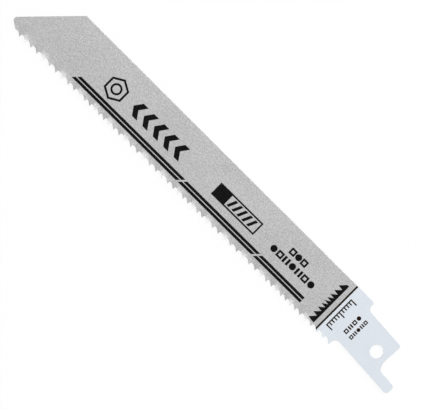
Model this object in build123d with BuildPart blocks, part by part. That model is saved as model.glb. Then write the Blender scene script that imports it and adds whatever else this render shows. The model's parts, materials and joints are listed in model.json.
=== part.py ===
from build123d import *
from math import atan2, cos, degrees, pi, radians, sin, tan
import os

os.makedirs("parts", exist_ok=True)

# Reciprocating saw blade, cut from one piece of steel strip. It lies flat with
# its printed face up. Millimetres. The origin is the middle of the hole in the
# tang, half way through the thickness. +X runs to the tip, +Y to the teeth.

# Strip
thickness = 0.9
back_to_hole = 9.545
back_to_tooth_points = 17.8

# Slanted end and nose
nose_reach = 141.7
nose_from_points = 2.75
end_slant = 44.3
nose_flank_slope = 35.7
nose_radius = 1.0
end_corner_radius = 0.3

# Teeth, in a pitch that swells and shrinks in regular cycles along the edge
nose_to_first_tooth = 5.2
heel_reach = 11.0
coarse_pitch = 2.56
fine_pitch = 1.88
teeth_per_cycle = 17
coarsest_gap = 5.14
tooth_height = 1.0
back_slope = 36.0
gullet_radius = 0.38
gullet_blend_radius = 1.0
blunt_corner_drop = 0.68
starter_step = 0.17
blunt_corner_radius = 0.15

# Set of the teeth: one bent down, one bent up and one left straight, in turn
set_order = (-1, 1, 0)
set_out = 0.22
set_line_above_root = 0.2

# Tang, which drops towards the teeth as it runs back
tang_drop_angle = 3.6
tang_width = 12.5
tang_end_reach = 3.65
tang_corner_radius = 0.8
hole_radius = 2.0
shoulder_reach = 10.4
shoulder_corner_radius = 0.7
shoulder_root_radius = 1.6
heel_radius = 1.7

# Prong below the notch in the tang's end
prong_reach = 11.1
prong_width = 3.27
prong_upper_radius = 1.0
prong_lower_radius = 1.1
notch_foot_reach = 4.85
notch_top_from_edge = 5.5
notch_foot_radius = 1.3
notch_top_radius = 0.8

# Most of its wall or floor that a gullet or a rounded corner may take up
gullet_share = 0.98
blend_share = 0.95
heel_share = 0.65
shoulder_root_share = 0.62
shoulder_corner_share = 0.3

# Paint and print
coat_thickness = 0.03
ink_thickness = 0.03
print_turn = 0.18
line_reach = 17.25
line_width = 0.42
stripe_from_back = 13.1
stripe_width = 0.78
stripe_spacing = 1.16
line_to_stripes = 8.65
nose_to_stripes = 24.8
stripe_breaks = (44.4, 74.7)
stripe_break_width = 0.82

# Heights above and below the hole, worked out from the sizes above
back_y = -back_to_hole
points_y = back_to_tooth_points - back_to_hole
root_y = points_y - tooth_height
set_line_y = root_y + set_line_above_root
face_z = thickness / 2
tang_frame = Plane.XY.rotated((0, 0, -tang_drop_angle))
print_frame = Plane.XY.offset(face_z).rotated((0, 0, print_turn))
stripes_tail_end = line_reach + line_to_stripes
stripes_tip_end = nose_reach - nose_to_stripes


def tooth_points():
    """Place of every tooth point along the blade, from the nose back to the heel."""
    mean_pitch = (coarse_pitch + fine_pitch) / 2
    swing = (coarse_pitch - fine_pitch) / 2
    places = []
    place = nose_reach - nose_to_first_tooth
    while place > heel_reach:
        places.append(place)
        turn = 2 * pi * (len(places) - 0.5 - coarsest_gap) / teeth_per_cycle
        place -= mean_pitch + swing * cos(turn)
    return places


def on_tang(reach, across):
    """Point in the tang's own turned frame, seen in the blade's frame."""
    point = tang_frame.from_local_coords((reach, across))
    return (point.X, point.Y)


def on_tang_edge(reach, side):
    """Point on the tang's upper (-1) or lower (1) edge, at a place along the blade."""
    drop = radians(tang_drop_angle)
    return (reach, (side * tang_width / 2 - reach * sin(drop)) / cos(drop))


def gullet(front, rear):
    """Edge from a tooth point down its cutting face and up the next tooth's back."""
    rise = tan(radians(back_slope))
    depth = min(tooth_height, gullet_share * (front - rear - gullet_radius) * rise)
    back_foot = rear + depth / rise
    spare_floor = front - gullet_radius - back_foot
    blend = min(gullet_blend_radius, blend_share * spare_floor / tan(radians(back_slope / 2)))
    floor_y = points_y - depth
    FilletPolyline(
        (front, points_y),
        (front, floor_y),
        (back_foot, floor_y),
        (rear, points_y),
        radius=(gullet_radius, blend),
    )


def set_teeth(direction):
    """Fields beyond the set line that hold every tooth bent in one direction."""
    starts = [places[0] + tooth_height / tan(radians(back_slope))]
    starts += [place - gullet_radius for place in places]
    with BuildSketch() as fields:
        for number, (front, rear) in enumerate(zip(starts, starts[1:])):
            if set_order[number % len(set_order)] == direction:
                with Locations((rear, set_line_y)):
                    Rectangle(front - rear, tooth_height, align=Align.MIN)
    return fields.sketch


def band(tail, tip):
    """Field right across the blade between two places along it, square to the print."""
    with BuildSketch(Plane.XY.rotated((0, 0, print_turn))) as field:
        with Locations(((tail + tip) / 2, 0)):
            Rectangle(tip - tail, 2 * back_to_tooth_points)
    return field.sketch


places = tooth_points()
nose_y = points_y - nose_from_points
end_corner_reach = nose_reach - (nose_y - back_y) * tan(radians(end_slant))
blunt_y = points_y - blunt_corner_drop
blunt_reach = nose_reach - (blunt_y - nose_y) / tan(radians(nose_flank_slope))
starter_y = blunt_y - starter_step
starter_foot_reach = places[0] + (points_y - starter_y) / tan(radians(back_slope))
lower_edge = tang_width / 2
prong_top = lower_edge - prong_width

# Walls under the last tooth and at the shoulder, and the corners that fit on the shoulder
heel_wall = points_y - on_tang_edge(places[-1], 1)[1]
shoulder_wall = on_tang_edge(shoulder_reach, -1)[1] - back_y
root_radius = min(shoulder_root_radius, shoulder_root_share * shoulder_wall)
corner_radius = min(shoulder_corner_radius, shoulder_corner_share * shoulder_wall)

# Each corner of the outline with its radius, from the last tooth round the
# tail, along the back edge and round the nose to the first tooth.
corners = (
    (on_tang_edge(places[-1], 1), min(heel_radius, heel_share * heel_wall)),
    (on_tang(-prong_reach, lower_edge), prong_lower_radius),
    (on_tang(-prong_reach, prong_top), prong_upper_radius),
    (on_tang(-notch_foot_reach, prong_top), notch_foot_radius),
    (on_tang(-tang_end_reach, lower_edge - notch_top_from_edge), notch_top_radius),
    (on_tang(-tang_end_reach, -lower_edge), tang_corner_radius),
    (on_tang_edge(shoulder_reach, -1), root_radius),
    ((shoulder_reach, back_y), corner_radius),
    ((end_corner_reach, back_y), end_corner_radius),
    ((nose_reach, nose_y), nose_radius),
    ((blunt_reach, blunt_y), blunt_corner_radius),
    ((blunt_reach - starter_step, starter_y), blunt_corner_radius),
    ((starter_foot_reach, starter_y), blunt_corner_radius),
)

with BuildSketch() as outline:
    with BuildLine():
        FilletPolyline(
            (places[-1], points_y),
            *[point for point, radius in corners],
            (places[0], points_y),
            radius=[radius for point, radius in corners],
        )
        for front, rear in zip(places, places[1:]):
            gullet(front, rear)
    make_face()
    Circle(hole_radius, mode=Mode.SUBTRACT)

down_teeth = set_teeth(-1)
up_teeth = set_teeth(1)

# The strip with its straight teeth, and with the set teeth cut off at the line
# that they are bent along.
with BuildSketch() as flat_part:
    add(outline.sketch)
    add(down_teeth, mode=Mode.SUBTRACT)
    add(up_teeth, mode=Mode.SUBTRACT)

with BuildPart() as blade:
    with BuildSketch(Plane.XY.offset(-face_z)):
        add(flat_part.sketch)
    extrude(amount=thickness)
    lean = degrees(atan2(set_out, points_y - set_line_y))
    for direction, teeth in ((-1, down_teeth), (1, up_teeth)):
        with BuildSketch(Plane((0, set_line_y, -face_z)).rotated((direction * lean, 0, 0))):
            with Locations((0, -set_line_y)):
                add(outline.sketch)
                add(teeth, mode=Mode.INTERSECT)
        extrude(amount=thickness, dir=(0, 0, 1))

# Paint on both faces of the shank, up to the cross line.
with BuildPart() as shank_coat:
    for side in (1, -1):
        with BuildSketch(Plane.XY.offset(side * face_z)):
            add(flat_part.sketch)
            add(band(-2 * prong_reach, line_reach - line_width / 2), mode=Mode.INTERSECT)
        extrude(amount=side * coat_thickness)

with BuildPart() as shank_line:
    with BuildSketch(Plane.XY.offset(face_z)):
        add(flat_part.sketch)
        add(band(line_reach - line_width / 2, line_reach + line_width / 2), mode=Mode.INTERSECT)
    extrude(amount=ink_thickness)

# Two stripes beside the teeth, cut by slanted gaps and to a slanted tip end.
with BuildPart() as edge_stripes:
    with BuildSketch(print_frame):
        middle_y = back_y + stripe_from_back + (stripe_spacing + stripe_width) / 2
        run = stripe_spacing * tan(radians(end_slant))
        for row in (0, 1):
            with Locations((stripes_tail_end, back_y + stripe_from_back + row * stripe_spacing)):
                Rectangle(stripes_tip_end + run - stripes_tail_end, stripe_width, align=Align.MIN)
        half_break = stripe_break_width / 2
        cuts = [(place - half_break, place + half_break) for place in stripe_breaks]
        cuts.append((stripes_tip_end, stripes_tip_end + 3 * run))
        for tail, tip in cuts:
            Polygon(
                (tail - run, middle_y - stripe_spacing),
                (tip - run, middle_y - stripe_spacing),
                (tip + run, middle_y + stripe_spacing),
                (tail + run, middle_y + stripe_spacing),
                align=None,
                mode=Mode.SUBTRACT,
            )
    extrude(amount=ink_thickness)

blade.part.label = "blade"
export_step(blade.part, "parts/blade.step")
shank_coat.part.label = "shank_coat"
export_step(shank_coat.part, "parts/shank_coat.step")
shank_line.part.label = "shank_line"
export_step(shank_line.part, "parts/shank_line.step")
edge_stripes.part.label = "edge_stripes"
export_step(edge_stripes.part, "parts/edge_stripes.step")
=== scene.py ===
import json
import math

import bmesh
import bpy
import numpy as np
from mathutils import Matrix, Vector


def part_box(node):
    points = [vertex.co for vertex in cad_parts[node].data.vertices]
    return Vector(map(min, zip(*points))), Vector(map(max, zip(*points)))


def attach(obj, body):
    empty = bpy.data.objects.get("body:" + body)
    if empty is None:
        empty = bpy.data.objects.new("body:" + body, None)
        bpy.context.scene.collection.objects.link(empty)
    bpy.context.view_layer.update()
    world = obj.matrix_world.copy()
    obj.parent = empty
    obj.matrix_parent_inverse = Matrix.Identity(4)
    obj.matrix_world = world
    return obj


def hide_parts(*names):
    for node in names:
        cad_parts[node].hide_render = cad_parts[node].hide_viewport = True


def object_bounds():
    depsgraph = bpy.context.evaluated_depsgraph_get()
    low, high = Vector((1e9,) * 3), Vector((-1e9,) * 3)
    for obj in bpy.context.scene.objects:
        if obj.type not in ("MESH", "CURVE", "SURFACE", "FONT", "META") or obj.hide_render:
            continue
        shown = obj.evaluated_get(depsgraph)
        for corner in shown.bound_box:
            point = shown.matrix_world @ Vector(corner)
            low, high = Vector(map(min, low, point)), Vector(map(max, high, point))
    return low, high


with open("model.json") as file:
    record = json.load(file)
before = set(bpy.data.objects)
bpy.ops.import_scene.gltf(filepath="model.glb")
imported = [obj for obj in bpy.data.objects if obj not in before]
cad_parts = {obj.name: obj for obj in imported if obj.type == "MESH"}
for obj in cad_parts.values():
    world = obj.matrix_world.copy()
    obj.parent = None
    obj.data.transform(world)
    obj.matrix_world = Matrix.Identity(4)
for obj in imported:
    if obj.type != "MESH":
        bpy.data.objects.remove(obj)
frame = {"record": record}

bl_info = {
    "name": "Reciprocating Saw Blade",
    "version": (1, 0, 0),
    "blender": (4, 5, 0),
    "location": "3D View > Sidebar > Saw Blade",
    "description": "Set teeth, painted shank, print and studio for a reciprocating saw blade",
    "category": "Add Mesh",
}

# The blade lies flat with its printed face up. The origin is the middle of the
# hole in the tang. +X runs to the tip, +Y to the teeth. Lengths are in metres.
MM = 0.001
BODY = "root"
BOX_AT_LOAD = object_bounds()
STEEL_LOW, STEEL_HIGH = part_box("blade")
INK_LOW, INK_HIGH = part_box("edge_stripes")
BORE = next(mount for mount in frame["record"]["mounts"] if mount["name"] == "shank_hole")


def length(name, description, millimetres):
    """Property for a length, given in millimetres."""
    return bpy.props.FloatProperty(
        name=name, description=description, default=millimetres * MM, unit="LENGTH", precision=5
    )


def angle(name, description, degrees):
    """Property for an angle, given in degrees."""
    return bpy.props.FloatProperty(
        name=name, description=description, default=math.radians(degrees), subtype="ANGLE"
    )


def share(name, description, value):
    """Property for a plain number."""
    return bpy.props.FloatProperty(name=name, description=description, default=value, precision=4)


def colour(name, description, value):
    """Property for a colour, in linear red, green and blue."""
    return bpy.props.FloatVectorProperty(
        name=name, description=description, default=value, subtype="COLOR", min=0, max=1
    )


def place(name, description, millimetres):
    """Property for a point, given in millimetres."""
    return bpy.props.FloatVectorProperty(
        name=name,
        description=description,
        default=[value * MM for value in millimetres],
        subtype="TRANSLATION",
        precision=5,
    )


class StripSizes(bpy.types.PropertyGroup):
    """Sizes of the steel strip and its slanted end."""

    back: length("Back edge", "Y of the back edge", STEEL_LOW.y / MM)
    points: length("Tooth points", "Y of the line of tooth points", STEEL_HIGH.y / MM)
    thickness: length("Thickness", "Thickness of the steel", BORE["dims"]["length_mm"])
    nose_reach: length("Nose reach", "X of the nose before rounding", 141.7)
    nose_drop: length("Nose drop", "From the tooth points back to the nose", 2.75)
    end_slant: angle("End slant", "Lean of the slanted end from square", 44.3)
    flank_slope: angle("Nose flank slope", "Slope from the nose to the first tooth", 35.7)
    nose_radius: length("Nose radius", "Rounding of the nose", 1.0)
    corner_radius: length("End corner radius", "Rounding of the end's back corner", 0.3)
    back_round: length("Back edge rounding", "Rolled rounding of the back edge", 0.1)
    edge_round: length("Edge rounding", "Rounding of the punched edges", 0.05)
    tooth_round: length("Tooth edge rounding", "Rounding left on the milled edges", 0.012)


class ToothSizes(bpy.types.PropertyGroup):
    """Sizes of the teeth, whose pitch swells and shrinks along the edge."""

    first_drop: length("Nose to first tooth", "From the nose to the first point", 5.2)
    heel_reach: length("Heel reach", "No tooth point lies behind this X", 11.0)
    coarse_pitch: length("Coarse pitch", "Widest pitch", 2.56)
    fine_pitch: length("Fine pitch", "Closest pitch", 1.88)
    cycle: share("Teeth per cycle", "Teeth from one coarsest gap to the next", 17)
    coarsest_gap: share("Coarsest gap", "Which gap from the nose is the coarsest", 5.14)
    height: length("Tooth height", "From the gullet floor to the point", 1.0)
    back_slope: angle("Back slope", "Slope of a tooth's back", 36.0)
    gullet_radius: length("Gullet radius", "Rounding under the cutting face", 0.38)
    blend_radius: length("Blend radius", "Rounding at the foot of a tooth's back", 1.0)
    blend_share: share("Blend share", "Most of the gullet's floor that it may take up", 0.95)
    tip_radius: length("Point radius", "Rounding of a tooth point", 0.018)
    starter_depth: length("Starter depth", "Depth of the step before the first tooth", 0.85)
    blunt_drop: length("Blunt corner drop", "Depth of the corner before the step", 0.68)
    blunt_radius: length("Blunt corner radius", "Rounding of the step's corners", 0.15)
    set_depth: length("Bend depth", "From the points to where the bend starts", 2.6)
    mill_past: length("Milled past the heel", "How far the milled edge passes the last point", 0.1)


class TangSizes(bpy.types.PropertyGroup):
    """Sizes of the tang, its hole, its notch and its prong."""

    drop: angle("Tang drop", "Turn of the tang from the blade's line", 3.6)
    width: length("Tang width", "Width between the tang's edges", 12.5)
    end_reach: length("Tang end reach", "From the hole back to the tang's end", 3.65)
    corner_radius: length("Tang corner radius", "Rounding of the tang's corner", 0.8)
    hole_radius: length("Hole radius", "Radius of the hole", BORE["dims"]["r_mm"])
    shoulder_reach: length("Shoulder reach", "X of the shoulder", 10.4)
    shoulder_corner: length("Shoulder corner radius", "Rounding of its corner", 0.7)
    shoulder_root: length("Shoulder root radius", "Rounding at its foot", 1.6)
    heel_radius: length("Heel radius", "Rounding under the last tooth", 1.7)
    prong_reach: length("Prong reach", "From the hole back to the prong's end", 11.1)
    prong_width: length("Prong width", "Width of the prong", 3.27)
    prong_upper: length("Prong upper radius", "Rounding of its inner corner", 1.0)
    prong_lower: length("Prong lower radius", "Rounding of its outer corner", 1.1)
    notch_foot: length("Notch foot reach", "From the hole back to the notch's foot", 4.85)
    notch_top: length("Notch top", "From the lower edge up to the notch's top", 5.5)
    notch_foot_radius: length("Notch foot radius", "Rounding of its foot", 1.3)
    notch_top_radius: length("Notch top radius", "Rounding of its top", 0.8)


class PrintSizes(bpy.types.PropertyGroup):
    """Sizes of the paint and the print."""

    turn: angle("Print turn", "Turn of all the print on the blade", 0.18)
    coat: length("Coat thickness", "Thickness of the paint", 0.03)
    ink: length("Ink thickness", "Thickness of the ink", (INK_HIGH.z - INK_LOW.z) / MM)
    line_reach: length("Line reach", "X of the cross line's middle", 17.25)
    line_width: length("Line width", "Width of the cross line", 0.42)
    line_clear: length("Line clearance", "From the line's end to the tooth's edge", 0.02)
    line_spread: length("Line spread", "How far the cross line's ink runs past it", 0.07)
    ink_spread: length("Ink spread", "How far the stripes' ink runs past its line", 0.03)
    gap_spread: length("Gap spread", "How far it runs into the gap between them", 0.055)
    stripe_from_back: length("Stripes from back", "From the back edge to the stripes", 13.1)
    stripe_width: length("Stripe width", "Width of each stripe", 0.78)
    stripe_spacing: length("Stripe spacing", "From one stripe to the other", 1.16)
    line_to_stripes: length("Line to stripes", "From the cross line to the stripes", 8.65)
    nose_to_stripes: length("Nose to stripes", "From the nose back to the stripes", 24.8)
    tail_gap: length("Tail gap", "X of the middle of the gap nearer the tail", 44.4)
    tip_gap: length("Tip gap", "X of the middle of the gap nearer the tip", 74.7)
    gap_width: length("Gap width", "Width of each gap along the blade", 0.82)


class Finishes(bpy.types.PropertyGroup):
    """Colours and gloss of the steel, the paint and the ink."""

    steel: colour("Steel", "Blasted steel", (0.547, 0.547, 0.547))
    steel_gloss: share("Steel roughness", "Roughness of the blasted steel", 0.45)
    milled: colour("Milled steel", "Bare steel of the milled gullets", (0.66, 0.66, 0.66))
    grain: share("Grain", "How much the blasting's grain changes the colour", 0.54)
    # Painted sheen: the steel's colour is made lighter along the teeth, standing in for the light that
    # they catch
    painted_tooth_sheen: share("Tooth shine", "How much brighter the steel is at the teeth", 0.1)
    paint: colour("Paint", "Pale blue white of the shank", (0.705, 0.751, 0.805))
    paint_gloss: share("Paint roughness", "Roughness of the paint", 0.42)
    ink: colour("Ink", "Black print on the steel", (0.0045, 0.0045, 0.0045))
    warm_ink: colour("Warm ink", "Black print on the paint", (0.0135, 0.0065, 0.002))


class StageSettings(bpy.types.PropertyGroup):
    """Camera, lamps and floor."""

    aim: place("Aim", "Point that the camera looks at", (63.918, 3.829, 0.45))
    stand: place("Stand", "Place of the camera", (86.261, -0.194, 500.0))
    turn: angle("Photo turn", "Turn of the blade's line in the picture", 44.899)
    lens: share("Lens", "Focal length in millimetres", 149.05)
    floor: colour("Floor", "Colour of the floor", (0.96, 0.96, 0.96))
    floor_size: length("Floor size", "Side of the floor", 6000)
    ceiling: share("Ceiling", "Brightness of the ceiling, where the walls are 1", 0.68)
    key: share("Key light", "Light of the key lamp on the blade's face, where the walls are 1", 0.31)
    key_slant: angle("Key slant", "Slant of the key lamp from straight above", 34.0)
    key_away: length("Key distance", "Distance of the key lamp", 3000)
    key_size: length("Key size", "Diameter of the key lamp", 900)
    shadow: share("Shadow", "How much of the shadow the white floor shows", 0.1)


def unit(vectors):
    """Each vector divided by its own length."""
    return vectors / np.linalg.norm(vectors, axis=-1, keepdims=True)


def rows_of(*values):
    """Rows with one value of each array, such as points from X and Y. A number is in every row."""
    return np.stack(np.broadcast_arrays(*values), axis=-1)


def raised(plan, height):
    """Plan points with a height, which is an array or one number for all."""
    return rows_of(plan[..., 0], plan[..., 1], height)


def quarter_turn(vectors):
    """Each plan vector (x, y) turned to (-y, x)."""
    return rows_of(-vectors[..., 1], vectors[..., 0])


def turned(points, radians):
    """Plan points turned about the origin: x cos - y sin, x sin + y cos."""
    points = np.asarray(points, float)
    cosine, sine = math.cos(radians), math.sin(radians)
    return points @ np.array(((cosine, sine), (-sine, cosine)))


def rounded(corners, radii, arc_points, run_points):
    """Blocks of points along a path with an arc at each inner corner.

    At a corner C the path turns by w from the unit direction a to b. An arc of radius r leaves
    the first run at C - a r tan(w / 2), and its point at the share s of the turn lies at
    r (a sin(s w) + n (1 - cos(s w))) from there, where n is a turned a quarter to b's side.
    Block i holds evenly spaced points of the run up to corner i, then those of its arc.
    """
    corners = np.asarray(corners, float)
    radii = np.asarray(radii, float)
    ahead = unit(np.diff(corners, axis=0))
    before, after = ahead[:-1], ahead[1:]
    across = quarter_turn(before)
    turn = np.arctan2((across * after).sum(1), (before * after).sum(1))
    inward = across * np.sign(turn)[:, None]
    start = corners[1:-1] - before * (radii * np.tan(abs(turn) / 2))[:, None]
    swept = np.linspace(0, 1, arc_points) * abs(turn)[:, None]
    arcs = start[:, None] + radii[:, None, None] * (
        before[:, None] * np.sin(swept)[..., None]
        + inward[:, None] * (1 - np.cos(swept))[..., None]
    )
    leaving = np.vstack((corners[:1], arcs[:-1, -1]))
    along = np.linspace(0, 1, run_points + 2)[1:-1, None]
    runs = leaving[:, None] + along * (arcs[:, 0] - leaving)[:, None]
    return np.concatenate((runs, arcs), axis=1)


def walked(points):
    """Length walked along a path to each of its points."""
    return np.concatenate(([0], np.cumsum(np.linalg.norm(np.diff(points, axis=0), axis=1))))


def stretch(points, count):
    """As many points, evenly spaced along a path by its length."""
    along = walked(points)
    stops = np.linspace(0, along[-1], count)
    return rows_of(*(np.interp(stops, along, points[:, axis]) for axis in (0, 1)))


def tooth_places(strip, teeth):
    """X of every tooth point: each gap is the mean pitch and a cosine of its number."""
    most = int((strip.nose_reach - teeth.heel_reach) / teeth.fine_pitch)
    number = np.arange(most) + 0.5 - teeth.coarsest_gap
    mean = (teeth.coarse_pitch + teeth.fine_pitch) / 2
    swing = (teeth.coarse_pitch - teeth.fine_pitch) / 2
    gaps = mean + swing * np.cos(2 * math.pi * number / teeth.cycle)
    places = strip.nose_reach - teeth.first_drop - np.concatenate(([0], np.cumsum(gaps)))
    return places[places > teeth.heel_reach]


class Plan:
    """Outline of the blade as two rails from the nose to the prong's end.

    Column k of every surface crosses the blade from the tooth side's point lower[k], through
    the two middle points inner_low[k] and inner_up[k], which part only round the hole, to the
    back side's point upper[k].

    ARC points make each arc of the outline, and TOOTH_ARC those of a tooth, after TOOTH_RUN
    points of each straight run. ZONES has the columns of each zone of the tang. A rounded edge's
    holding points lie HOLD times its roundness inside the rail. The middle rails keep at least
    NEAR times the blade's width from the teeth, and INSIDE times it from the blade's ends.
    """

    ARC = 24
    TOOTH_ARC = 6
    TOOTH_RUN = 2
    ZONES = {"shoulder": 30, "neck": 6, "hole": 33, "end": 30, "notch": 16, "prong": 10, "tip": 16}
    HOLD = 1.4
    NEAR = 0.03
    INSIDE = 0.3

    def __init__(self, strip, teeth, tang, tail_only=None, sink=0.0):
        self.strip, self.teeth, self.tang, self.sink = strip, teeth, tang, sink
        self.places = tooth_places(strip, teeth)
        self.slope = math.tan(teeth.back_slope)
        self.round_body()
        front = self.front_rails()
        if tail_only is not None:
            front = self.cut_rails(front, tail_only)
        self.start_cut = tail_only is not None
        rear = self.tang_rails(front)
        self.lower, self.inner_low, self.inner_up, self.upper = (
            np.concatenate((ahead, behind[1:])) for ahead, behind in zip(front, rear)
        )
        self.lower_out = self.outward(self.lower, self.upper, -1)
        self.upper_out = self.outward(self.upper, self.lower, 1)
        self.draw_in(-1, turned((-1, 0), -tang.drop))
        if not self.start_cut:
            self.draw_in(0, (1, 0))

    def on_tang(self, reach, across):
        """Point of the tang's own turned frame, in the blade's frame."""
        return turned((reach, across), -self.tang.drop)

    def on_tang_edge(self, reach, side):
        """Point on the tang's upper (-1) or lower (1) edge at an X of the blade's frame."""
        half = self.tang.width / 2
        return (reach, (side * half - reach * math.sin(self.tang.drop)) / math.cos(self.tang.drop))

    def round_body(self):
        """Outline without its teeth, from the heel round the tail and the nose to tooth one."""
        strip, teeth, tang = self.strip, self.teeth, self.tang
        edge, prong_top = tang.width / 2, tang.width / 2 - tang.prong_width
        nose = np.array((strip.nose_reach, strip.points - strip.nose_drop))
        blunt_y = strip.points - teeth.blunt_drop
        blunt_x = strip.nose_reach - (blunt_y - nose[1]) / math.tan(strip.flank_slope)
        starter_y = strip.points - teeth.starter_depth
        end_x = nose[0] - (nose[1] - strip.back) * math.tan(strip.end_slant)
        corners = {
            "heel": (self.on_tang_edge(self.places[-1], 1), tang.heel_radius),
            "prong_low": (self.on_tang(-tang.prong_reach, edge), tang.prong_lower),
            "prong_up": (self.on_tang(-tang.prong_reach, prong_top), tang.prong_upper),
            "notch_foot": (self.on_tang(-tang.notch_foot, prong_top), tang.notch_foot_radius),
            "notch_top": (self.on_tang(-tang.end_reach, edge - tang.notch_top), tang.notch_top_radius),
            "tang_corner": (self.on_tang(-tang.end_reach, -edge), tang.corner_radius),
            "root": (self.on_tang_edge(tang.shoulder_reach, -1), tang.shoulder_root),
            "shoulder": ((tang.shoulder_reach, strip.back), tang.shoulder_corner),
            "end_corner": ((end_x, strip.back), strip.corner_radius),
            "nose": (nose, strip.nose_radius),
            "blunt": ((blunt_x, blunt_y), teeth.blunt_radius),
            "step": ((blunt_x - (blunt_y - starter_y), starter_y), teeth.blunt_radius),
            "starter": (
                (self.places[0] + teeth.starter_depth / self.slope, starter_y),
                teeth.blunt_radius,
            ),
        }
        self.starter = corners["starter"][0]
        points = [(self.places[-1], strip.points)]
        points += [point for point, radius in corners.values()]
        points.append((self.places[0], strip.points))
        blocks = rounded(points, [radius for point, radius in corners.values()], self.ARC, 1)
        self.body = blocks.reshape(-1, 2)
        block = self.ARC + 1
        self.enter = {name: number * block + 1 for number, name in enumerate(corners)}
        self.leave = {name: number * block + self.ARC for number, name in enumerate(corners)}
        self.tail = self.enter["prong_up"] - 1
        self.apex = int(np.argmax(self.body[:, 0]))

    def tooth_path(self):
        """Points of all the gullets and teeth, and which of them are feet of a base column.

        Each tooth adds three corners: its point, the foot of its cutting face and the foot of
        the next tooth's back.
        """
        teeth, points = self.teeth, self.strip.points
        front, rear = self.places[:-1], self.places[1:]
        depth = np.minimum(teeth.height, (front - rear - teeth.gullet_radius) * self.slope)
        floor = points - depth
        foot = rear + depth / self.slope
        spare = front - teeth.gullet_radius - foot
        fitting = teeth.blend_share * spare / math.tan(teeth.back_slope / 2)
        blend = np.minimum(teeth.blend_radius, fitting)
        corners = (rows_of(front, points), rows_of(front, floor), rows_of(foot, floor))
        radii = rows_of(teeth.tip_radius, teeth.gullet_radius, blend)
        corners = np.stack(corners, axis=1).reshape(-1, 2)
        last = self.places[-1]
        path = np.vstack((self.starter, corners, (last, points), self.on_tang_edge(last, 1)))
        blocks = rounded(path, np.append(radii, teeth.tip_radius), self.TOOTH_ARC, self.TOOTH_RUN)
        feet = np.zeros(blocks.shape[:2], bool)
        feet[1::3, self.TOOTH_RUN:] = True
        feet[2::3] = True
        return blocks.reshape(-1, 2), feet.ravel()

    def front_rails(self):
        """Rails from the nose to the foot of the last tooth's cutting face.

        A column stands on the tooth edge, leans inside its tooth to the line where the bend
        starts, and runs square to the back from there. Between the feet of a tooth the leaning
        is in step with the length walked along its edge.
        """
        nose_run = self.body[self.apex:self.leave["starter"] + 1]
        teeth_run, feet = self.tooth_path()
        heel = self.body[[0, self.enter["heel"]]]
        lower = np.concatenate((nose_run, teeth_run, heel))
        fixed = np.concatenate((np.ones(len(nose_run), bool), feet, (False, True)))
        along = walked(lower)
        base_x = np.interp(along, along[fixed], lower[fixed, 0])
        back = self.body[self.leave["shoulder"]:self.apex + 1]
        back_y = np.interp(base_x, back[:, 0], back[:, 1])
        bend_y = self.strip.points - self.teeth.set_depth
        width = lower[:, 1] - back_y
        held = np.minimum(2 * self.HOLD * self.strip.edge_round, width / 2)
        base_y = np.minimum(bend_y, lower[:, 1] - np.maximum(self.NEAR * width, held))
        upper, base = rows_of(base_x, back_y), rows_of(base_x, base_y)
        upper[0] = base[0] = lower[0]
        return lower, base, base.copy(), upper

    def cut_rails(self, rails, cut):
        """The rails behind an X, with a new first column there."""
        lower, base, _, upper = rails
        behind = base[:, 0] < cut - self.strip.edge_round
        edge_y = np.interp(-cut, -lower[:, 0], lower[:, 1])
        first = [(cut, y) for y in (edge_y, base[behind][0, 1], upper[behind][0, 1])]
        lower, base, upper = (
            np.vstack((start, rail[behind])) for start, rail in zip(first, (lower, base, upper))
        )
        return lower, base, base.copy(), upper

    def tang_rails(self, front):
        """Rails from the last tooth to the prong's end, worked out in the tang's own frame."""
        tang, count, enter, leave = self.tang, self.ZONES, self.enter, self.leave
        body = turned(self.body, tang.drop)
        lower, base, _, upper = (turned(rail[-1], tang.drop) for rail in front)
        half = tang.width / 2
        ring = tang.hole_radius + self.sink + self.HOLD * self.strip.edge_round
        neck = min(body[enter["root"], 0], body[leave["heel"], 0]) - tang.corner_radius

        def run(first, last, side=1):
            """Ends of a straight run on the tang's lower (1) or upper (-1) edge."""
            return ((first, side * half), (last, side * half))

        def back(first, last):
            """Points of the outline from a later corner back to an earlier one."""
            return body[first:last + 1][::-1]

        end_start = -tang.end_reach - tang.notch_top_radius / 2
        foot, low_turn = body[enter["notch_foot"], 0], body[enter["prong_low"], 0]
        zones = {
            "shoulder": (
                (body[enter["heel"]:leave["heel"] + 1], (neck, half)),
                (upper, back(enter["root"], leave["shoulder"]), (neck, -half)),
            ),
            "neck": (run(neck, ring), run(neck, ring, -1)),
            "hole": (run(ring, -ring), run(ring, -ring, -1)),
            "end": (
                run(-ring, end_start),
                ((-ring, -half), back(enter["notch_top"], leave["tang_corner"])),
            ),
            "notch": (run(end_start, foot), back(enter["notch_foot"], enter["notch_top"])),
            "prong": (run(foot, low_turn), back(leave["prong_up"], enter["notch_foot"])),
            "tip": (body[enter["prong_low"]:self.tail + 1], back(self.tail, leave["prong_up"])),
        }

        def rail(side):
            """One edge's rail through all the zones, with the points that they share kept once."""
            parts = [stretch(np.vstack(paths[side]), count[name]) for name, paths in zones.items()]
            return np.concatenate((parts[0], *(part[1:] for part in parts[1:])))

        low, high = rail(0), rail(1)
        start = count["shoulder"] + count["neck"] - 2
        around = slice(start, start + count["hole"])
        round_hole = np.linspace(0, math.pi, count["hole"])
        hole_x, hole_y = ring * np.cos(round_hole), ring * np.sin(round_hole)
        low[around, 0] = high[around, 0] = hole_x
        first_share = np.linalg.norm(base - lower) / np.linalg.norm(upper - lower)
        shares = np.full(len(low), 0.5)
        shares[:count["shoulder"]] = np.linspace(first_share, 0.5, count["shoulder"])
        middle = low + shares[:, None] * (high - low)
        inner_low, inner_up = middle.copy(), middle.copy()
        inner_low[around] = rows_of(hole_x, hole_y)
        inner_up[around] = rows_of(hole_x, -hole_y)
        return tuple(turned(line, -tang.drop) for line in (low, inner_low, inner_up, high))

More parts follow.
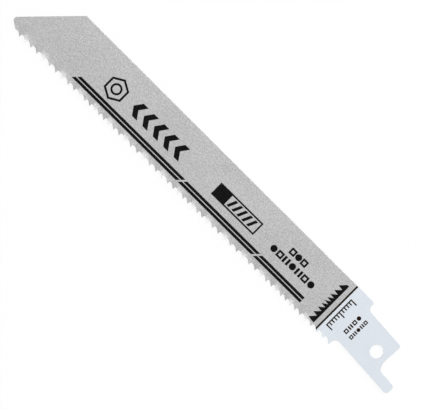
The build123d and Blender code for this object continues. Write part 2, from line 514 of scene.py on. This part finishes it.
    def draw_in(self, end, out):
        """Move the middle rails in from an end, so that no face folds over its rounded edge.

        A middle point lies at least e + INSIDE w inside the end, where e is the depth of the
        rounded edge and w the width of the blade at that column.
        """
        depth = self.sink + self.HOLD * self.strip.edge_round
        depth = depth + self.INSIDE * np.linalg.norm(self.upper - self.lower, axis=1)
        for rail in (self.inner_low, self.inner_up):
            past = (rail - self.lower[end]) @ np.asarray(out) + depth
            rail -= np.clip(past, 0, None)[:, None] * out

    def outward(self, rail, other, side):
        """Unit vectors square to a rail, out of the steel, halving the angle at each point."""
        before = 2 * rail[0] - rail[1] if self.start_cut else other[1]
        padded = np.vstack((before, rail, other[-2]))
        ahead = unit(np.diff(padded, axis=0))
        return side * quarter_turn(unit(ahead[:-1] + ahead[1:]))


def paint_end(marks):
    """X at which the paint ends, on the cross line's tail side."""
    return marks.line_reach - marks.line_width / 2


def set_height(xy, strip, teeth, marks, places):
    """How far the bent teeth lift the surface at plan points: side(x) times bend(y).

    The side is -1, 1 or 0 on each tooth in turn, times its lean, with a smooth step across each
    gullet. The bend is a parabola from nothing, at the line where it starts, to the whole lean
    at the tooth points. A painted tooth leans a coat's thickness less than the others.
    """
    run = teeth.height / math.tan(teeth.back_slope)
    clear = teeth.gullet_radius / 2
    stations = rows_of(places + run - clear, places + clear / 2).ravel()
    numbers = np.repeat(np.arange(1.0, len(places) + 1), 2)
    stations = np.concatenate(([places[0] + run + clear], stations, [places[-1] - clear]))
    numbers = np.concatenate(([0.0], numbers, [len(places) + 1.0]))
    number = np.interp(-xy[..., 0], -stations, numbers)
    whole = np.minimum(np.floor(number).astype(int), len(places))
    part = number - whole
    part = part * part * (3 - 2 * part)
    lean = STEEL_HIGH.z - strip.thickness / 2 - marks.coat * (places < paint_end(marks))
    sides = np.concatenate(([0.0], np.resize((-1.0, 1.0, 0.0), len(places)) * lean, [0.0]))
    side = sides[whole] * (1 - part) + sides[whole + 1] * part
    rise = np.clip((xy[..., 1] - strip.points) / teeth.set_depth + 1, 0, 1)
    return side * rise * rise


# Angles of a rounded edge's points, from the upper face round to the lower one
EDGE = np.arange(3, -4, -1) * math.pi / 6

# Rows of faces from the middle rails to the teeth and to the back edge
FRONT_ROWS, BACK_ROWS = 10, 3

# Points that lie closer than this are one
MERGE = 0.0002 * MM

# Faces that meet at more than this angle have a crisp edge between them
CRISP = math.radians(35)


def rim(rail, out, roundness, half, sink):
    """Rounded edge carried along a rail, with a point on each face beside it.

    At an edge angle f a point lies r (1 - cos f) inside the rail and r (1 - |sin f|) under the
    face, where r is the roundness. Only the point at no angle lies at mid thickness instead.
    The whole rail is first sunk inwards.
    """
    depth = np.concatenate(([Plan.HOLD], 1 - np.cos(EDGE), [Plan.HOLD]))
    drop = np.concatenate(([0], 1 - abs(np.sin(EDGE)), [0]))
    side = np.sign(np.concatenate(([1], EDGE, [-1])))
    plan = rail[:, None] - out[:, None] * (sink[:, None] + roundness[:, None] * depth)[..., None]
    return raised(plan, side * (half - roundness[:, None] * drop))


def face(first, last, height, rows):
    """Straight rows from one rail to another: first + t (last - first), at one height."""
    along = np.linspace(0, 1, rows + 1)[None, :, None]
    return raised(first[:, None] * (1 - along) + last[:, None] * along, height)


def half_shell(middle, rail, out, roundness, half, sink, ends, rows):
    """Upper face, rounded edge and lower face from the middle rail to one edge and back.

    At the ends, where the two edges meet, the faces shrink to the edge's own first point. The
    result is a grid, columns by points, with a matching grid that is 1 on the edge's wall.
    """
    edge = rim(rail, out, roundness, half, sink)
    middle = np.where(ends[:, None], edge[:, 0, :2], middle)
    above = face(middle, edge[:, 0, :2], half, rows)
    below = face(edge[:, -1, :2], middle, -half, rows)
    grid = np.concatenate((above[:, :-1], edge, below[:, 1:]), axis=1)
    wall = np.zeros(grid.shape[:2])
    wall[:, rows + 2:rows + len(EDGE)] = 1
    return grid, wall


def grid_faces(columns, points, first=0, ring=False):
    """Quads of a grid whose points are numbered column by column, closed to a ring or open."""
    column = np.arange(columns - 1)[:, None]
    point = np.arange(points if ring else points - 1)[None, :]
    following = (point + 1) % points
    corners = (
        column * points + point,
        (column + 1) * points + point,
        (column + 1) * points + following,
        column * points + following,
    )
    return first + np.stack(corners, axis=-1).reshape(-1, 4)


def make_piece(name, points, faces, material, wall=None):
    """Mesh object from whole arrays, with doubles merged, faces outwards and crisp edges."""
    mesh = bpy.data.meshes.new(name)
    mesh.from_pydata(points.tolist(), [], faces)
    if wall is not None:
        layer = mesh.attributes.new("wall", "FLOAT", "POINT")
        layer.data.foreach_set("value", np.asarray(wall, np.float32))
    work = bmesh.new()
    work.from_mesh(mesh)
    bmesh.ops.remove_doubles(work, verts=work.verts, dist=MERGE)
    bmesh.ops.dissolve_degenerate(work, edges=work.edges, dist=MERGE)
    bmesh.ops.delete(work, geom=[edge for edge in work.edges if edge.is_wire], context="EDGES")
    bmesh.ops.recalc_face_normals(work, faces=work.faces)
    work.to_mesh(mesh)
    work.free()
    mesh.shade_smooth()
    mesh.set_sharp_from_angle(angle=CRISP)
    mesh.materials.append(material)
    made = bpy.data.objects.new(name, mesh)
    bpy.context.scene.collection.objects.link(made)
    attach(made, BODY)
    return made


def blade_surface(plan, half, sink_at, hole_sink):
    """Points, faces and wall marks of the blade's whole surface, flat, from its plan.

    Two half shells meet along the middle rails. Where those part, round the hole, a ring of
    the same rounded edge closes the gap.
    """
    strip, teeth, tang = plan.strip, plan.teeth, plan.tang
    lower, upper = plan.lower, plan.upper
    heel = plan.places[-1] - teeth.mill_past
    starter = plan.places[0] + teeth.height / plan.slope
    milled = (lower[:, 0] > heel) & (lower[:, 0] < starter)
    low_round = np.where(milled, strip.tooth_round, strip.edge_round)
    on_back = abs(upper[:, 1] - strip.back) < strip.corner_radius / 2
    up_round = np.where(on_back, strip.back_round, strip.edge_round)
    ends = np.isclose(lower, upper, rtol=0, atol=MERGE).all(axis=1)
    low, low_wall = half_shell(
        plan.inner_low, lower, plan.lower_out, low_round, half, sink_at(lower), ends, FRONT_ROWS
    )
    up, up_wall = half_shell(
        plan.inner_up, upper, plan.upper_out, up_round, half, sink_at(upper), ends, BACK_ROWS
    )
    around = np.linspace(0, 2 * math.pi, 2 * plan.ZONES["hole"] - 1)
    spoke = turned(rows_of(np.cos(around), np.sin(around)), -tang.drop)
    every = np.ones(len(around))
    edge_round, sink = strip.edge_round * every, hole_sink * every
    hole = rim(spoke * tang.hole_radius, -spoke, edge_round, half, sink)
    points, faces, walls, first = [], [], [], 0
    for grid, wall in ((low, low_wall), (up, up_wall), (hole, np.ones(hole.shape[:2]))):
        points.append(grid.reshape(-1, 3))
        faces += grid_faces(grid.shape[0], grid.shape[1], first).tolist()
        walls.append(wall.ravel())
        first += points[-1].shape[0]
    return np.concatenate(points), faces, np.concatenate(walls)


class Value:
    """A number inside a material. Arithmetic with it adds the Math nodes for it."""

    def __init__(self, finish, socket):
        self.finish, self.socket = finish, socket

    def __add__(self, other):
        return self.finish.maths("ADD", self, other)

    def __sub__(self, other):
        return self.finish.maths("SUBTRACT", self, other)

    def __rsub__(self, other):
        return self.finish.maths("SUBTRACT", other, self)

    def __mul__(self, other):
        return self.finish.maths("MULTIPLY", self, other)

    __radd__ = __add__
    __rmul__ = __mul__

    def above(self, low, high):
        """Smooth step from 0 at low to 1 at high."""
        settings = {"interpolation_type": "SMOOTHSTEP"}
        ends = {"Value": self, "From Min": low, "From Max": high}
        return self.finish.node("ShaderNodeMapRange", settings, ends)


class Finish:
    """A node tree that is written as Python: a material's, or the world's."""

    def __init__(self, owner):
        owner.use_nodes = True
        self.owner, self.tree = owner, owner.node_tree
        self.tree.nodes.clear()

    def node(self, kind, settings=None, sockets=None, output=0):
        """A node of one kind: its settings, then values or links for its sockets."""
        made = self.tree.nodes.new(kind)
        for name, value in (settings or {}).items():
            setattr(made, name, value)
        for name, value in (sockets or {}).items():
            if isinstance(value, Value):
                self.tree.links.new(value.socket, made.inputs[name])
            else:
                made.inputs[name].default_value = value
        return Value(self, made.outputs[output]) if made.outputs else made

    def maths(self, operation, *terms):
        """One Math node."""
        return self.node("ShaderNodeMath", {"operation": operation}, dict(enumerate(terms)))

    def mix(self, factor, first, second):
        """Colour between two colours."""
        sockets = {0: factor, 6: first, 7: second}
        return self.node("ShaderNodeMix", {"data_type": "RGBA"}, sockets, output=2)

    def coordinates(self):
        """Object coordinates of the piece, in metres."""
        return self.node("ShaderNodeTexCoord", output="Object")

    def pattern(self, where, scale, detail=2.0):
        """Noise from 0 to 1, with its own scale along each axis, in cells per metre."""
        placed = self.node("ShaderNodeMapping", None, {"Vector": where, "Scale": scale})
        sockets = {"Vector": placed, "Scale": 1.0, "Detail": detail}
        return self.node("ShaderNodeTexNoise", None, sockets)

    def bumped(self, height, depth):
        """Normal of a surface raised by a height from 0 to 1 times a depth in metres."""
        return self.node("ShaderNodeBump", None, {"Height": height, "Distance": depth, "Strength": 1.0})

    def surface(self, sockets):
        """Principled shader and the material's output. Returns the material."""
        shader = self.node("ShaderNodeBsdfPrincipled", None, sockets)
        self.node("ShaderNodeOutputMaterial", None, {"Surface": shader})
        return self.owner


WHITE = (1.0, 1.0, 1.0, 1.0)


def shaded(values, factor):
    """Opaque colour made lighter or darker by a factor."""
    return (*(min(1.0, value * factor) for value in values), 1.0)


def swings(*noises):
    """Sum of how far each noise is from 0.5, times its own share."""
    return sum((noise - 0.5) * share for noise, share in noises)


def steel_finish(looks, strip, teeth):
    """Blasted steel, with a painted sheen that makes its colour brighter at the teeth, and bare on the
    milled walls between them.

    It has an even grain about 0.4 mm wide with finer grit in it, and faint rolling streaks.
    """
    finish = Finish(bpy.data.materials.new("blasted_steel"))
    where = finish.coordinates()
    grain = finish.pattern(where, (2300, 2600, 2600), 1.0)
    grit = finish.pattern(where, (8000, 8500, 8500))
    cloud = finish.pattern(where, (55, 90, 90))
    streak = finish.pattern(where, (70, 2400, 2400))
    height = finish.node("ShaderNodeSeparateXYZ", None, {"Vector": where}, output="Y")
    at_teeth = height.above(strip.points - teeth.set_depth, strip.points - teeth.height)
    grained = looks.grain * swings((grain, 1.5), (grit, 1.2), (cloud, 0.3), (streak, 0.2))
    reach = 0.45
    # The tooth band gets a painted sheen here: a lighter colour standing in for light on the teeth
    tone = 0.5 + grained + at_teeth * (looks.painted_tooth_sheen / (2 * reach))
    blasted = finish.mix(tone, shaded(looks.steel, 1 - reach), shaded(looks.steel, 1 + reach))
    wall = finish.node("ShaderNodeAttribute", {"attribute_name": "wall"}, output="Fac")
    milled = wall * at_teeth
    lines = finish.pattern(where, (9000, 9000, 500), 1.0)
    bare = finish.mix(lines, shaded(looks.milled, 0.8), shaded(looks.milled, 1.2))
    roughness = looks.steel_gloss + swings((grain, 0.16)) - milled * 0.12
    relief = (grain * 0.6 + grit * 0.4) * (1 - milled) + lines * milled
    return finish.surface(
        {
            "Base Color": finish.mix(milled, blasted, bare),
            "Metallic": 1.0,
            "Roughness": roughness,
            "Normal": finish.bumped(relief, 0.012 * MM),
        }
    )


def paint_finish(looks):
    """Pale paint: satin, with a soft skin, a little dust in it and faint unevenness."""
    finish = Finish(bpy.data.materials.new("pale_paint"))
    where = finish.coordinates()
    skin = finish.pattern(where, (900, 900, 900))
    dust = finish.pattern(where, (2500, 2500, 2500))
    cloud = finish.pattern(where, (160, 160, 160))
    tone = 0.5 + swings((dust, 0.9), (cloud, 0.4))
    return finish.surface(
        {
            "Base Color": finish.mix(tone, shaded(looks.paint, 0.93), shaded(looks.paint, 1.07)),
            "Roughness": looks.paint_gloss + swings((dust, 0.12)),
            "Normal": finish.bumped(skin * 0.7 + dust * 0.3, 0.006 * MM),
            "Specular IOR Level": 0.4,
        }
    )


def ink_finish(looks, on_paint):
    """Black ink: matt, thinner in places, and a warmer black on the paint than on the steel."""
    name, base = ("warm_ink", looks.warm_ink) if on_paint else ("matt_ink", looks.ink)
    made = bpy.data.materials.get(name)
    if made:
        return made
    finish = Finish(bpy.data.materials.new(name))
    where = finish.coordinates()
    grain = finish.pattern(where, (2400, 2400, 2400), 1.0)
    cloud = finish.pattern(where, (400, 400, 400))
    tone = 0.5 + swings((grain, 1.6), (cloud, 0.6))
    return finish.surface(
        {
            "Base Color": finish.mix(tone, shaded(base, 0.2), shaded(base, 1.8)),
            "Roughness": 0.62 + swings((grain, 0.2)),
            "Normal": finish.bumped(grain, 0.006 * MM),
            "Specular IOR Level": 0.06,
        }
    )


def sizes_of(context):
    """The property groups of the strip, teeth, tang, print and finishes."""
    scene = context.scene
    return scene.saw_strip, scene.saw_teeth, scene.saw_tang, scene.saw_print, scene.saw_looks


class SAW_OT_blade(bpy.types.Operator):
    """Blade of one strip of steel with smoothly bent teeth and fine rounded edges"""

    bl_idname = "saw.blade"
    bl_label = "Blade"

    def execute(self, context):
        strip, teeth, tang, marks, looks = sizes_of(context)

        def under_coat(rail):
            """The steel is a coat's thickness smaller where paint covers its edges."""
            return marks.coat * np.clip((paint_end(marks) - rail[:, 0]) / strip.back_round, 0, 1)

        plan = Plan(strip, teeth, tang, sink=marks.coat)
        points, faces, wall = blade_surface(plan, strip.thickness / 2, under_coat, marks.coat)
        points[:, 2] += set_height(points[:, :2], strip, teeth, marks, plan.places)
        points = np.clip(points, STEEL_LOW, STEEL_HIGH)
        finish = steel_finish(looks, strip, teeth)
        made = make_piece("steel_blade", points, faces, finish, wall)
        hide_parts("blade")
        return {"FINISHED"}


class SAW_OT_coat(bpy.types.Operator):
    """Paint round the shank, up to the cross line"""

    bl_idname = "saw.coat"
    bl_label = "Shank coat"

    def execute(self, context):
        strip, teeth, tang, marks, looks = sizes_of(context)
        plan = Plan(strip, teeth, tang, tail_only=paint_end(marks))

        def flush(rail):
            """The paint's outer side is the outline itself."""
            return np.zeros(len(rail))

        points, faces, _ = blade_surface(plan, strip.thickness / 2 + marks.coat, flush, 0.0)
        points[:, 2] += set_height(points[:, :2], strip, teeth, marks, plan.places)
        made = make_piece("shank_paint", points, faces, paint_finish(looks))
        solidify = made.modifiers.new("paint thickness", "SOLIDIFY")
        solidify.thickness = marks.coat
        solidify.offset = -1
        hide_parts("shank_coat")
        return {"FINISHED"}


def print_strips(strips, base, marks, lift):
    """Points and faces of printed strips, each between two plan rails, on a lifted surface.

    Across a strip the section has six points: a foot, a shoulder and a top point on each side.
    A strip whose first and last columns match is a ring, and any other gets a face at each end.
    """
    mix = np.array((0, 0, 0.04, 0.96, 1, 1))[:, None]
    rise = np.array((-0.2, 0.6, 1, 1, 0.6, -0.2)) * marks.ink
    corners = len(rise)
    points, faces, first = [], [], 0
    for left, right in strips:
        left, right = turned(left, marks.turn), turned(right, marks.turn)
        plan = left[:, None] * (1 - mix) + right[:, None] * mix
        grid = raised(plan, base + lift(plan) + rise)
        points.append(grid.reshape(-1, 3))
        faces += grid_faces(len(left), corners, first, ring=True).tolist()
        end = first + corners * len(left)
        if not np.allclose(grid[0], grid[-1]):
            faces.append(list(range(first, first + corners))[::-1])
            faces.append(list(range(end - corners, end)))
        first = end
    return np.concatenate(points), faces


def add_print(name, strips, context, lap=0.0, size=MM):
    """One printed piece of several strips, given in millimetres or in another unit's size.

    The lap is how much higher than the bare steel's face the print lies. Print with a lap lies
    on the paint, and has the ink for it.
    """
    strip, teeth, _, marks, looks = sizes_of(context)
    base = strip.thickness / 2 + lap
    strips = [(np.asarray(left) * size, np.asarray(right) * size) for left, right in strips]
    places = tooth_places(strip, teeth)

    def lift(plan):
        """Height of the bent surface under the print."""
        return set_height(plan, strip, teeth, marks, places)

    points, faces = print_strips(strips, base, marks, lift)
    return make_piece(name, points, faces, ink_finish(looks, lap > 0))


class SAW_OT_line(bpy.types.Operator):
    """Cross line over the edge of the paint, which follows the bent tooth at its end"""

    bl_idname = "saw.line"
    bl_label = "Cross line"

    def execute(self, context):
        strip, teeth, tang, marks, _ = sizes_of(context)
        outline = Plan(strip, teeth, tang).lower[::-1]
        near = strip.back + strip.edge_round
        # The points lie closest together at the tooth, where the line bends.
        count = 90
        along = np.linspace(0, 1, count) ** 2
        rails = []
        for side in (-1, 1):
            x = marks.line_reach + side * (marks.line_width / 2 + marks.line_spread)
            far = np.interp(x, outline[:, 0], outline[:, 1]) - marks.line_clear
            rails.append(rows_of(x, far + (near - far) * along))
        over_paint = 0.2 * marks.ink
        made = add_print("cross_line", [rails], context, over_paint, size=1.0)
        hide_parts("shank_line")
        return {"FINISHED"}


class SAW_OT_stripes(bpy.types.Operator):
    """Two stripes beside the teeth, with slanted gaps and a slanted tip end"""

    bl_idname = "saw.stripes"
    bl_label = "Edge stripes"

    def execute(self, context):
        strip, _, _, marks, _ = sizes_of(context)
        spread = marks.ink_spread
        slanted_spread = spread / math.cos(strip.end_slant)
        low = strip.back + marks.stripe_from_back
        middle = low + (marks.stripe_spacing + marks.stripe_width) / 2
        tail_end = marks.line_reach + marks.line_to_stripes - spread
        tip_end = strip.nose_reach - marks.nose_to_stripes + slanted_spread
        half = marks.gap_width / 2 - slanted_spread
        starts = (tail_end, marks.tail_gap + half, marks.tip_gap + half)
        ends = (marks.tail_gap - half, marks.tip_gap - half, tip_end)
        strips = []
        spreads = ((spread, marks.gap_spread), (marks.gap_spread, spread))
        for row, (low_spread, high_spread) in enumerate(spreads):
            edge = low + row * marks.stripe_spacing
            for start, end in zip(starts, ends):
                rails = []
                for y in (edge - low_spread, edge + marks.stripe_width + high_spread):
                    run = (y - middle) * math.tan(strip.end_slant)
                    first = start if start == tail_end else start + run
                    rails.append(((first, y), (end + run, y)))
                strips.append(rails)
        made = add_print("edge_stripes_ink", strips, context, size=1.0)
        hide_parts("edge_stripes")
        return {"FINISHED"}


# How far, in millimetres, one printed strip reaches into the next
JOIN = 0.02


def ring_path(centre, radius, corners, turn=0.0):
    """Closed path of a regular shape with so many corners."""
    angles = np.linspace(0, 2 * math.pi, corners + 1) + turn
    return centre + radius * rows_of(np.cos(angles), np.sin(angles))


def bar(x, y, lean=0.0):
    """Solid bar between two X and two Y, whose far side leans along X."""
    (x0, x1), (y0, y1) = x, y
    return ((x0, y0), (x0 + lean, y1)), ((x1, y0), (x1 + lean, y1))


def window(x, y, line):
    """Rectangular frame with a line of one width."""
    (x0, x1), (y0, y1) = x, y
    outer = np.array(((x0, y0), (x1, y0), (x1, y1), (x0, y1), (x0, y0)))
    centre = np.array(((x0 + x1) / 2, (y0 + y1) / 2))
    return outer, outer + np.sign(centre - outer) * line


def disc(centre, radius):
    """Solid round spot."""
    outer = ring_path(centre, radius, 32)
    return outer, np.tile(centre, (len(outer), 1))


class SAW_OT_nut_mark(bpy.types.Operator):
    """Plain sign of a hexagon nut"""

    bl_idname = "saw.nut_mark"
    bl_label = "Nut mark"

    def execute(self, context):
        centre = (106.35, -1.0)
        nut, bore = (3.78, 0.72, 6, math.pi / 6), (1.75, 0.612, 48, 0)
        strips = []
        for radius, line, corners, turn in (nut, bore):
            outer = ring_path(centre, radius, corners, turn)
            strips.append((outer, ring_path(centre, radius - line, corners, turn)))
        add_print("nut_mark", strips, context)
        return {"FINISHED"}


class SAW_OT_arrow_marks(bpy.types.Operator):
    """Five bold arrow heads that point along the blade to its tip"""

    bl_idname = "saw.arrow_marks"
    bl_label = "Arrow heads"

    def execute(self, context):
        tail, pitch, stroke, point = 79.2, 4.18, 1.95, 1.72
        low, high = -3.55, 1.3
        left = np.array(((tail, low), (tail + point, (low + high) / 2), (tail, high)))
        starts = [left + (number * pitch, 0) for number in range(5)]
        strips = [(start, start + (stroke, 0)) for start in starts]
        add_print("arrow_marks", strips, context)
        return {"FINISHED"}


class SAW_OT_framed_mark(bpy.types.Operator):
    """Sign of a strip joined from two metals: one end filled, the other hatched"""

    bl_idname = "saw.framed_mark"
    bl_label = "Framed mark"

    def execute(self, context):
        left, fill, right = 49.2, 61.3, 66.2
        low, high, line = -3.22, 1.23, 0.5
        outer = np.array(((fill, low), (left, low), (left, high), (fill, high)))
        inner = outer + ((0, line), (line, line), (line, -line), (0, -line))
        strips = [(outer, inner), bar((fill - JOIN, right), (low, high))]
        hatch, pitch, stroke, lean, inside = 50.6, 2.0, 0.95, 1.25, (-2.4, 0.4)
        for number in range(5):
            start = hatch + number * pitch
            strips.append(bar((start, start + stroke), inside, lean))
        add_print("framed_mark", strips, context)
        return {"FINISHED"}


def section_row(kinds, start, pitch, across, side, upright=True):
    """Row of small sections of bar stock: square tubes, round rods and pairs of flats.

    The row runs along X from its first centre, or along Y where it isn't upright.
    """
    strips = []
    wall, flat = 0.28 * side, 0.37 * side
    height = (across - side / 2, across + side / 2)
    for number, kind in enumerate(kinds.split()):
        centre = start + pitch * number
        left, right = centre - side / 2, centre + side / 2
        if kind == "tube":
            strips.append(window((left, right), height, wall))
        elif kind == "rod":
            strips.append(disc((centre, across), side / 2))
        else:
            strips += [bar((left, left + flat), height), bar((right - flat, right), height)]
    if upright:
        return strips
    return [tuple(np.asarray(rail)[:, ::-1] for rail in strip) for strip in strips]


class SAW_OT_section_marks(bpy.types.Operator):
    """Two rows of small sections of bar stock"""

    bl_idname = "saw.section_marks"
    bl_label = "Section marks"

    def execute(self, context):
        strips = []
        for kinds, start, pitch, across, side in (
            ("tube rod tube", 32.95, 2.25, -3.42, 2.05),
            ("rod tube flat rod flat tube rod", 27.2, 2.49, -0.32, 2.1),
        ):
            strips += section_row(kinds, start, pitch, across, side)
        add_print("section_marks", strips, context)
        return {"FINISHED"}


class SAW_OT_pitch_mark(bpy.types.Operator):
    """Row of saw teeth of changing pitch, printed across the blade beside the line"""

    bl_idname = "saw.pitch_mark"
    bl_label = "Pitch mark"

    def execute(self, context):
        base, foot, tops = 18.95, 19.7, 21.35
        first, last = -7.7, 6.8
        count, swing, flat = 9, 0.3, 0.12
        gaps = 1 + swing * np.cos(2 * math.pi * (np.arange(count) + 0.5) / count)
        ends = first + (last - first) * np.concatenate(([0], np.cumsum(gaps))) / gaps.sum()
        zigzag, straight = [], []
        for start, end in zip(ends, ends[1:]):
            point = end - flat * (end - start)
            zigzag += [(foot, start), (tops, point), (foot, end)]
            straight += [(base, start), (base, point), (base, end)]
        add_print("pitch_mark", [(straight, zigzag)], context)
        return {"FINISHED"}


class SAW_OT_shank_marks(bpy.types.Operator):
    """Scale of ten millimetres and two rows of small sections on the painted shank"""

    bl_idname = "saw.shank_marks"
    bl_label = "Shank marks"

    def execute(self, context):
        coat = context.scene.saw_print.coat
        foot, first, line, tall, short = 16.0, -5.4, 0.38, 2.4, 1.4
        steps, tall_every = 10, 5
        strips = [bar((foot - line, foot), (first - line / 2, first + steps + line / 2))]
        for number in range(steps + 1):
            y = first + number
            tip = foot - (short if number % tall_every else tall)
            strips.append(bar((tip, foot - line + JOIN), (y - line / 2, y + line / 2)))
        for kinds, start, pitch, across, side in (
            ("rod tube flat tube", -3.2, 1.72, 10.45, 1.3),
            ("tube flat rod flat tube", -3.65, 1.46, 8.2, 1.14),
        ):
            strips += section_row(kinds, start, pitch, across, side, upright=False)
        add_print("shank_marks", strips, context, coat)
        return {"FINISHED"}


def floor_finish(stage):
    """Pale floor that shows as white, less a share of the shadow that falls on it.

    It is clear to light that passes through it and to a view from below.
    """
    finish = Finish(bpy.data.materials.new("pale_floor"))
    where = finish.coordinates()
    cloud = finish.pattern(where, (3, 3, 3), 1.0)
    pale = finish.mix(cloud, shaded(stage.floor, 0.99), shaded(stage.floor, 1.01))
    sockets = {"Base Color": pale, "Roughness": 1.0, "Specular IOR Level": 0.0}
    matt = finish.node("ShaderNodeBsdfPrincipled", None, sockets)
    white = finish.node("ShaderNodeEmission", None, {"Color": WHITE, "Strength": 1.0})
    clear = finish.node("ShaderNodeBsdfTransparent")
    rays = ("Is Camera Ray", "Is Glossy Ray", "Is Transmission Ray")
    camera, glossy, through = (finish.node("ShaderNodeLightPath", output=ray) for ray in rays)
    seen = finish.maths("MAXIMUM", finish.maths("MAXIMUM", camera, glossy), through)
    from_below = finish.node("ShaderNodeNewGeometry", output="Backfacing")
    shown = seen * (1 - from_below)
    face = finish.node("ShaderNodeMixShader", None, {0: 1 - stage.shadow, 1: matt, 2: white})
    whole = finish.node("ShaderNodeMixShader", None, {0: shown, 1: clear, 2: face})
    finish.node("ShaderNodeOutputMaterial", None, {"Surface": whole})
    return finish.owner


def light_room(stage):
    """Pale room: walls as bright as the white background, and a dimmer ceiling.

    The camera itself sees the ceiling as white too.
    """
    world = bpy.data.worlds.new("pale_room")
    bpy.context.scene.world = world
    finish = Finish(world)
    direction = finish.node("ShaderNodeTexCoord")
    height = finish.node("ShaderNodeSeparateXYZ", None, {"Vector": direction}, output="Z")
    room = 1 - height.above(0.1, 0.6) * (1 - stage.ceiling)
    camera = finish.node("ShaderNodeLightPath", output="Is Camera Ray")
    strength = finish.maths("MAXIMUM", room, camera)
    light = finish.node("ShaderNodeBackground", None, {"Color": WHITE, "Strength": strength})
    finish.node("ShaderNodeOutputWorld", None, {"Surface": light})


def add_key(stage):
    """Round lamp on the back edge's side that faces the blade's middle.

    A disc of radiance L and area A at the distance d, slanted by s, adds L A cos(s) / (pi d d)
    to the light on a flat face, and its power is L A pi.
    """
    lamp = bpy.data.lights.new("key_lamp", "AREA")
    lamp.shape = "DISK"
    lamp.size = stage.key_size
    lamp.energy = stage.key * (math.pi * stage.key_away) ** 2 / math.cos(stage.key_slant)
    made = bpy.data.objects.new("key_lamp", lamp)
    middle = (Vector(BOX_AT_LOAD[0]) + Vector(BOX_AT_LOAD[1])) / 2
    away = Vector((0, -math.sin(stage.key_slant), math.cos(stage.key_slant)))
    made.location = middle + away * stage.key_away
    made.rotation_euler = away.to_track_quat("Z", "Y").to_euler()
    bpy.context.scene.collection.objects.link(made)


class SAW_OT_stage(bpy.types.Operator):
    """Floor, room light, key lamp and the camera above the blade"""

    bl_idname = "saw.stage"
    bl_label = "Stage"

    def execute(self, context):
        stage = context.scene.saw_stage
        half = stage.floor_size / 2
        ground = BOX_AT_LOAD[0].z
        across = np.linspace(-half, half, 5)
        points = rows_of(across[:, None], across[None, :], ground).reshape(-1, 3)
        faces = grid_faces(len(across), len(across))
        mesh = bpy.data.meshes.new("floor")
        mesh.from_pydata(points.tolist(), [], faces.tolist())
        mesh.materials.append(floor_finish(stage))
        floor = bpy.data.objects.new("floor", mesh)
        context.scene.collection.objects.link(floor)
        light_room(stage)
        add_key(stage)
        self.add_camera(context, stage)
        context.scene.view_settings.view_transform = "Standard"
        return {"FINISHED"}

    def add_camera(self, context, stage):
        """Camera above the blade, turned so that the blade's line runs to the upper left."""
        lens = bpy.data.cameras.new("camera")
        lens.lens = stage.lens
        lens.clip_start, lens.clip_end = 0.01, 20
        made = bpy.data.objects.new("camera", lens)
        stand, aim = Vector(stage.stand), Vector(stage.aim)
        back = (stand - aim).normalized()
        right = Vector((math.sin(stage.turn), -math.cos(stage.turn), 0)).cross(back).normalized()
        up = back.cross(right)
        axes = Matrix((right, up, back)).transposed().to_4x4()
        made.matrix_world = Matrix.Translation(stand) @ axes
        context.scene.collection.objects.link(made)
        context.scene.camera = made


GROUPS = {
    "saw_strip": StripSizes,
    "saw_teeth": ToothSizes,
    "saw_tang": TangSizes,
    "saw_print": PrintSizes,
    "saw_looks": Finishes,
    "saw_stage": StageSettings,
}
OPERATORS = (
    SAW_OT_stage,
    SAW_OT_blade,
    SAW_OT_coat,
    SAW_OT_line,
    SAW_OT_stripes,
    SAW_OT_nut_mark,
    SAW_OT_arrow_marks,
    SAW_OT_framed_mark,
    SAW_OT_section_marks,
    SAW_OT_pitch_mark,
    SAW_OT_shank_marks,
)


class SAW_PT_panel(bpy.types.Panel):
    """The blade's pieces and sizes"""

    bl_label = "Saw Blade"
    bl_idname = "SAW_PT_panel"
    bl_space_type = "VIEW_3D"
    bl_region_type = "UI"
    bl_category = "Saw Blade"

    def draw(self, context):
        for operator in OPERATORS:
            self.layout.operator(operator.bl_idname)
        for name, group in GROUPS.items():
            box = self.layout.box()
            box.label(text=group.__doc__)
            for prop in group.__annotations__:
                box.prop(getattr(context.scene, name), prop)


def register():
    for kind in (*GROUPS.values(), *OPERATORS, SAW_PT_panel):
        bpy.utils.register_class(kind)
    for name, group in GROUPS.items():
        setattr(bpy.types.Scene, name, bpy.props.PointerProperty(type=group))


def unregister():
    for name in GROUPS:
        delattr(bpy.types.Scene, name)
    for kind in (SAW_PT_panel, *OPERATORS, *GROUPS.values()):
        bpy.utils.unregister_class(kind)


def main():
    register()
    for operator in OPERATORS:
        group, name = operator.bl_idname.split(".")
        getattr(getattr(bpy.ops, group), name)()


if __name__ == "__main__":
    main()
